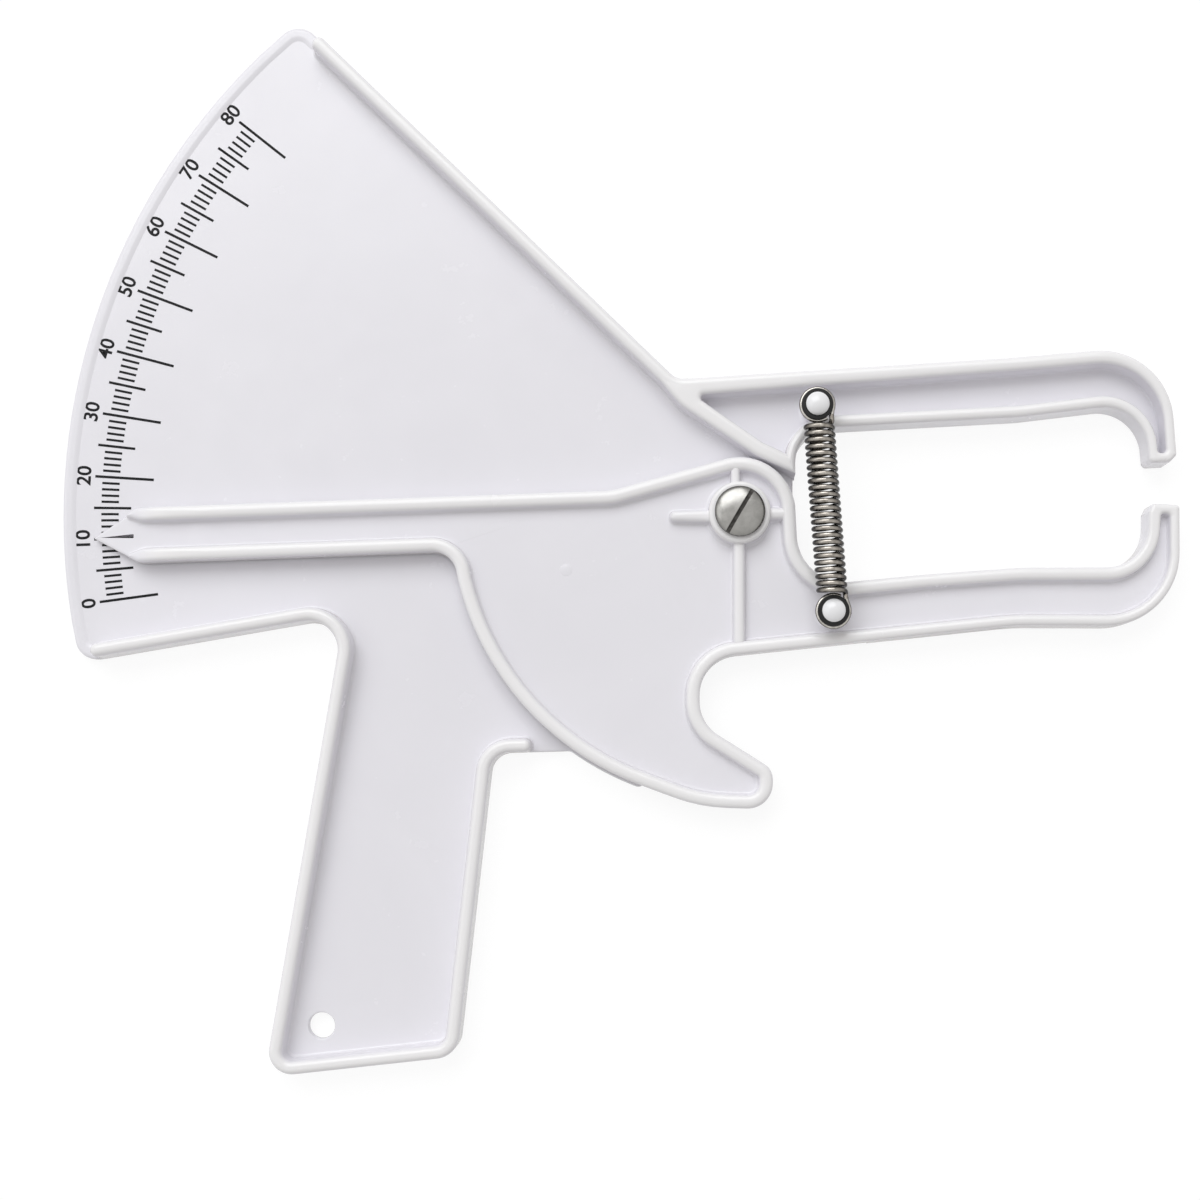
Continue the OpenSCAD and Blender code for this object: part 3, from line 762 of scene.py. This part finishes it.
web = bmesh.new()
sheet_edge = [(0.3, lever_foot), (0.07, lever_foot + 0.08), (0, lever_foot + 0.3),
              (0, lever_web - 0.45), (0.13, lever_web - 0.13), (0.45, lever_web)]
under, over = wall(web, [(rounded(moved_in(lever_outline, d)), z) for d, z in sheet_edge])
sight_from, sight_to, sight_half = pointer_reach - 10.2, pointer_reach - 1.2, 0.6
sight = [on_arm(sight_to, 0.07), on_arm(sight_from, sight_half, 0.3),
         on_arm(sight_from, -sight_half, 0.3), on_arm(sight_to, -0.07)]
sight_under, sight_over = wall(web, [
    (rounded(sight), lever_foot), (rounded(sight), lever_web - 0.12),
    (rounded(moved_in(sight, -0.1)), lever_web)])
close_flat(web, under, sight_under)
close_flat(web, over, sight_over)
a = math.radians(arm_slope)
for cut in (shoulder - 2, shoulder + 1.5, shoulder + 5):
    bmesh.ops.bisect_plane(web, geom=web.verts[:] + web.edges[:] + web.faces[:],
                           plane_co=on_arm(cut, 0, 4), plane_no=(-math.cos(a), -math.sin(a), 0))
sunk(web)
spare = bpy.data.meshes.new("spare")
web.to_mesh(spare)
web.free()
bm.from_mesh(spare)
bpy.data.meshes.remove(spare)

deep_from = 31
deep = [bottom_at(deep_from), low_bottom, low_bow, low_face_out, low_face_in, low_tip_side,
        *low_inner, throat_at(deep_from)]
deep_pocket = [deep[0], low_bottom, low_bow, tip_out, tip_in, *low_inner, deep[-1]]
deep_section = [(0.4, 0.4, 0.5), (0.1, 0.1, 0.6), (-0.035, 0, 0.9), (-0.035, 0, lever_web - 0.2)]
closed_rim(bm, deep, deep_pocket, [(jaw_rim, 1)] * len(deep_pocket), deep_section)


def ridge(bm, corners, web, top, roundness):
    """A low rib with a rounded crest and a fillet along its foot."""
    fillet = 0.6
    section = [(0, web - 0.5), (-fillet - 0.15, web - 0.05)]
    section += [(-0.1 - far, web + up) for far, up in quarter(fillet, (72, 54, 36, 18, 0))]
    section += [(far, top - low) for far, low in quarter(roundness, (0, 22, 45, 68, 90))]
    low, crest = wall(bm, [(rounded(moved_in(corners, d)), z) for d, z in section])
    bm.faces.new(low)
    bm.faces.new(crest)


upper_rib = [(-2.1, 5, 0), (0.1, 5, 0), (0.1, 12, 0), (-2.1, 12, 0)]
lower_rib = [(-1.5, -31.6, 0), (1.3, -31.6, 0), (1.3, -5, 0), (-1.5, -5, 0)]
right_rib = [(5, -1.6, 0), (12, -1.6, 0), (12, 1.4, 0), (5, 1.4, 0)]
left_rib = [(-16.7, -2.0, 1.2), (-5, -2.3, 0), (-5, 0.9, 0), (-16.7, 0.5, 1.2)]
for rib, top, roundness in ((upper_rib, 7.7, 0.95), (lower_rib, 7.75, 1.2), (right_rib, 7.7, 1.3),
                            (left_rib, 7.6, 1.15)):
    ridge(bm, rib, lever_web, top, roundness)

boss_radius, boss_top, boss_round, boss_fillet = 7.4, 9.0, 0.9, 1.0
boss = [(bore_radius, lever_foot), (bore_radius, boss_top), (boss_radius - boss_round, boss_top)]
boss += [(boss_radius - far, boss_top - low) for far, low in quarter(boss_round, (68, 45, 22, 0))]
boss += [(boss_radius + 0.1 + far, lever_web + up)
         for far, up in quarter(boss_fillet, (0, 22, 45, 68, 85))]
boss += [(boss_radius + 1.1, lever_web - 0.05), (boss_radius, lever_web - 0.4),
         (boss_radius, lever_foot)]
turned(bm, boss, steps=96)
post(bm, lower_post, lever_web, post_top)
gate_mark, gate_radius, gate_foot = (-41.6, -13.4), 1.45, lever_web - 0.2
turned(bm, [(0, gate_foot), (gate_radius, gate_foot), (gate_radius, lever_web + 0.015),
            (gate_radius - 0.1, lever_web + 0.04), (0, lever_web + 0.04)], gate_mark, 40)
pointer_lever = piece("moulded_lever", bm, white_abs, "lever")
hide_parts("pointer_lever")


# ---- The pivot ----
# A flanged steel barrel nut sits in a recess of the frame's back. A domed slotted screw is
# driven into it over a steel washer, and a nylon washer keeps the lever off the frame.

def steel(name, light, dark, smooth, rough, streak, edge):
    """A metal with fine marks in its colour and gloss, and a painted darker reflection that dims
    its colour by edge where it curves away.
    """
    material = bpy.data.materials.new(name)
    material.use_nodes = True
    nodes, links = material.node_tree.nodes, material.node_tree.links
    metal = nodes["Principled BSDF"]
    metal.inputs["Metallic"].default_value = 1.0
    marks = noise(nodes, links, nodes.new("ShaderNodeTexCoord"), 4, streak).outputs["Fac"]
    # Painted shade: the colour is darkened where the surface turns away from view, a painted darker
    # reflection at curved edges.
    edge_on = nodes.new("ShaderNodeLayerWeight")
    painted_edge_shade = graded(nodes, links, edge_on.outputs["Facing"], (0, 0.6), (1, edge))
    dimmed = nodes.new("ShaderNodeMix")
    dimmed.data_type = "RGBA"
    dimmed.blend_type = "MULTIPLY"
    dimmed.inputs["Factor"].default_value = 1.0
    links.new(shaded(nodes, links, marks, dark, light, 0.2), dimmed.inputs["A"])
    links.new(painted_edge_shade, dimmed.inputs["B"])
    links.new(dimmed.outputs["Result"], metal.inputs["Base Color"])
    links.new(graded(nodes, links, marks, made=(smooth, rough)), metal.inputs["Roughness"])
    bumped(nodes, links, marks, 0.3, 0.00001, metal)
    return material


# The last number of each steel is how far its painted edge shade dims its colour.
screw_steel = steel("screw_steel", (0.36, 0.352, 0.335), (0.28, 0.274, 0.26), 0.18, 0.3, 500, 0.12)
# Painted shade: the slot's walls and floor get a nearly black steel for the shade inside the slot.
slot_painted_shade = steel("slot_painted_shade", (0.09, 0.085, 0.08), (0.025, 0.023, 0.021), 0.3, 0.5, 900, 0.5)
nylon = plastic("washer_nylon", (0.82, 0.82, 0.78), (0.77, 0.77, 0.73), 0.4, 0.5)
for node, material in (("pivot_barrel", screw_steel), ("front_washer", screw_steel),
                       ("spacer_washer", nylon)):
    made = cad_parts[node]
    made.data.materials.clear()
    made.data.materials.append(material)
    join = made.modifiers.new("join_corners", "WELD")
    join.merge_threshold = 0.000002
    ease = made.modifiers.new("ease_edges", "BEVEL")
    ease.width = 0.00012
    ease.segments = 2
    ease.limit_method = "ANGLE"
    ease.angle_limit = math.radians(50)

head_radius, head_height, head_foot = 6.0, 1.9, boss_top + 0.55
head_rim = 0.35
crown = [(head_radius * math.sin(math.radians(5 * s)),
          head_foot + head_rim + (head_height - head_rim) * math.cos(math.radians(5 * s)))
         for s in range(17, 0, -1)]
bm = bmesh.new()
turned(bm, [(0, head_foot), (head_radius - 0.25, head_foot),
            (head_radius - 0.03, head_foot + 0.12), (head_radius, head_foot + head_rim),
            *crown, (0, head_foot + head_height)], steps=96)

half_slot, slot_floor, slot_turn, near = 0.5, head_foot + 0.63, math.radians(59.5), 0.001
slot_way = Vector((math.cos(slot_turn), math.sin(slot_turn), 0))
slot_side = Vector((-slot_way.y, slot_way.x, 0))
for at, normal in ((slot_side * half_slot, slot_side), (-slot_side * half_slot, slot_side),
                   (Vector((0, 0, slot_floor)), Vector((0, 0, 1)))):
    bmesh.ops.bisect_plane(bm, geom=bm.verts[:] + bm.edges[:] + bm.faces[:], dist=merge_within,
                           plane_co=at, plane_no=normal)


def in_slot(face, margin):
    middle = face.calc_center_median()
    return abs(middle.dot(slot_side)) < half_slot + margin and middle.z > slot_floor - margin


bmesh.ops.delete(bm, geom=[f for f in bm.faces if in_slot(f, 0)], context="FACES")
lips = [v for v in bm.verts if v.is_boundary]
for way in (-1, 1):
    lip = [v for v in lips if abs(v.co.dot(slot_side) - way * half_slot) < near]
    bm.faces.new(sorted(lip, key=lambda v: v.co.dot(slot_way)))
ends = [sorted((v for v in lips if v.co.z < slot_floor + near and v.co.dot(slot_way) * way > 0),
               key=lambda v: v.co.dot(slot_side) * way) for way in (-1, 1)]
bm.faces.new(ends[0] + ends[1])
# The slot's faces take the painted-shade steel.
for face in bm.faces:
    face.material_index = int(in_slot(face, near))
screw = piece("slotted_screw", bm, screw_steel, "frame", sharp=30)
screw.data.materials.append(slot_painted_shade)
soften = screw.modifiers.new("soft_slot", "BEVEL")
soften.width = 0.0003
soften.segments = 3
soften.material = 0
soften.limit_method = "ANGLE"
soften.angle_limit = math.radians(40)
screw.modifiers.move(1, 0)
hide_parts("pivot_screw")


# ---- The spring ----
# An extension spring of drawn steel wire, about twenty-five close turns. Each end leaves the
# turns as a straight leg and closes to a loop round its post.

wire, wire_of_turns = 0.5, 0.62
spring_height, turns, middle_radius = 12.3, 25, 3.13
spring_start = Vector((*upper_post, spring_height))
spring_run = Vector((*lower_post, spring_height)) - spring_start
spring_length = spring_run.length
down = spring_run.normalized()
across = Vector((-down.y, down.x, 0))
leg, elbow, overlap = 3.2, 1.2, 0.6

spring_wire = steel("spring_wire", (0.5, 0.465, 0.42), (0.27, 0.245, 0.215), 0.15, 0.28, 900, 0.05)
# Painted highlight: the loops are coloured lighter than the turns, to show them brightly lit
# although the sleeves' flanges shade them.
loop_wire_painted_light = steel("loop_wire_painted_light", (0.6, 0.575, 0.54), (0.36, 0.34, 0.31), 0.15, 0.28, 900, 0.12)


def on_turns(s, swept):
    """A point on the spring: s along its axis, swept round it in radians."""
    side = across * math.cos(swept) - Vector((0, 0, 1)) * math.sin(swept)
    return spring_start + down * s + side * middle_radius


def bent_tube(name, points, radius):
    """A tube along points, as a mesh."""
    line = bpy.data.curves.new(name + "_line", "CURVE")
    line.dimensions = "3D"
    line.bevel_depth = radius
    line.bevel_resolution = 3
    line.use_fill_caps = True
    run = line.splines.new("POLY")
    run.points.add(len(points) - 1)
    for knot, p in zip(run.points, points):
        knot.co = (*p, 1)
    return drawn_mesh(name + "_drawn", line)


sweep, around, bends = 2 * math.pi * turns, 26, [math.radians(15 * k) for k in range(1, 7)]
helix_from, swept_from = leg + elbow, elbow / middle_radius
helix_to, swept_to = spring_length - helix_from, sweep - swept_from
count = turns * around
points = [on_turns(leg - overlap, 0), on_turns(leg, 0)]
points += [on_turns(leg + elbow * math.sin(bend), elbow * (1 - math.cos(bend)) / middle_radius)
           for bend in bends]
points += [on_turns(helix_from + (helix_to - helix_from) * k / count,
                    swept_from + (swept_to - swept_from) * k / count) for k in range(1, count)]
points += [on_turns(spring_length - leg - elbow * math.sin(bend),
                    sweep - elbow * (1 - math.cos(bend)) / middle_radius)
           for bend in reversed(bends)]
points += [on_turns(spring_length - leg, sweep), on_turns(spring_length - leg + overlap, sweep)]
bm = bent_tube("turns", points, wire_of_turns)
coil = piece("spring_turns", bm, spring_wire, sharp=60)
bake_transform(coil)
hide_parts("spring_coil")

loop_radius = 3.8
lean = math.asin(middle_radius / loop_radius)
for name, at, heading, body, node in (
        ("upper_loop", upper_post, down, "spring_top", "spring_upper_eye"),
        ("lower_loop", lower_post, -down, "spring_bottom", "spring_lower_eye")):
    centre = Vector((*at, spring_height))
    path = [centre + across * middle_radius + heading * (leg + 0.1),
            centre + across * middle_radius + heading * (loop_radius * math.cos(lean) + 0.9)]
    for k in range(2, 60):
        angle = lean + (2 * math.pi - lean * 0.35) * k / 60
        path.append(centre + (across * math.sin(angle) + heading * math.cos(angle)) * loop_radius)
    bm = bent_tube(name, path, wire)
    loop = piece(name, bm, loop_wire_painted_light, body, sharp=60)
    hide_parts(node)


# ---- The bushings and the post caps ----
# A sleeve with two flanges sits on each post and lets the spring's loop turn; its black is
# painted shade for the shaded gap between the loop and the post. A glossy white cap pin,
# pressed into the post, holds it down.

# Painted shade: the sleeve is near black for the shaded gap between each loop and its post.
sleeve_black_as_shade = plastic("sleeve_black_as_shade", (0.012, 0.012, 0.012), (0.007, 0.007, 0.007), 0.3, 0.45,
                       120, 3000, shine=0.25)
white_cap = plastic("white_cap", (0.86, 0.86, 0.87), (0.83, 0.83, 0.845), 0.12, 0.22)
sleeve_foot, sleeve_floor, sleeve_top = post_top, post_top + 0.8, 13.35
sleeve_bore, sleeve_waist, low_flange, top_flange = 1.75, 2.5, 3.5, 3.73
pin_radius, pin_foot = 1.7, 5.4
cap_radius, cap_height, cap_edge = 2.75, 1.5, 0.4
bulge = (cap_radius ** 2 + (cap_height - cap_edge) ** 2) / (2 * (cap_height - cap_edge))
opening = math.asin(cap_radius / bulge)

for side, at, body in (("upper", upper_post, "frame"), ("lower", lower_post, "lever")):
    bm = bmesh.new()
    turned(bm, [(sleeve_bore, sleeve_foot), (sleeve_bore, sleeve_top), (3.5, sleeve_top),
                (3.66, sleeve_top - 0.06), (top_flange, sleeve_top - 0.2),
                (top_flange, sleeve_top - 0.28), (top_flange - 0.1, sleeve_top - 0.38),
                (sleeve_waist, sleeve_top - 0.38), (sleeve_waist, sleeve_floor),
                (low_flange - 0.1, sleeve_floor), (low_flange, sleeve_floor - 0.1),
                (low_flange, sleeve_foot + 0.1), (low_flange - 0.1, sleeve_foot)], at, 64)
    sleeve = piece(side + "_sleeve", bm, sleeve_black_as_shade, body)
    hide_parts(side + "_bushing")

    bm = bmesh.new()
    crown = [(bulge * math.sin(opening * s / 12),
              sleeve_top + cap_height - bulge + bulge * math.cos(opening * s / 12))
             for s in range(11, 0, -1)]
    turned(bm, [(0, pin_foot), (pin_radius, pin_foot), (pin_radius, sleeve_top),
                (cap_radius - 0.2, sleeve_top), (cap_radius - 0.03, sleeve_top + 0.1),
                (cap_radius, sleeve_top + 0.3), *crown, (0, sleeve_top + cap_height)], at, 64)
    cap = piece(side + "_cap", bm, white_cap, body)
    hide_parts(side + "_post_cap")
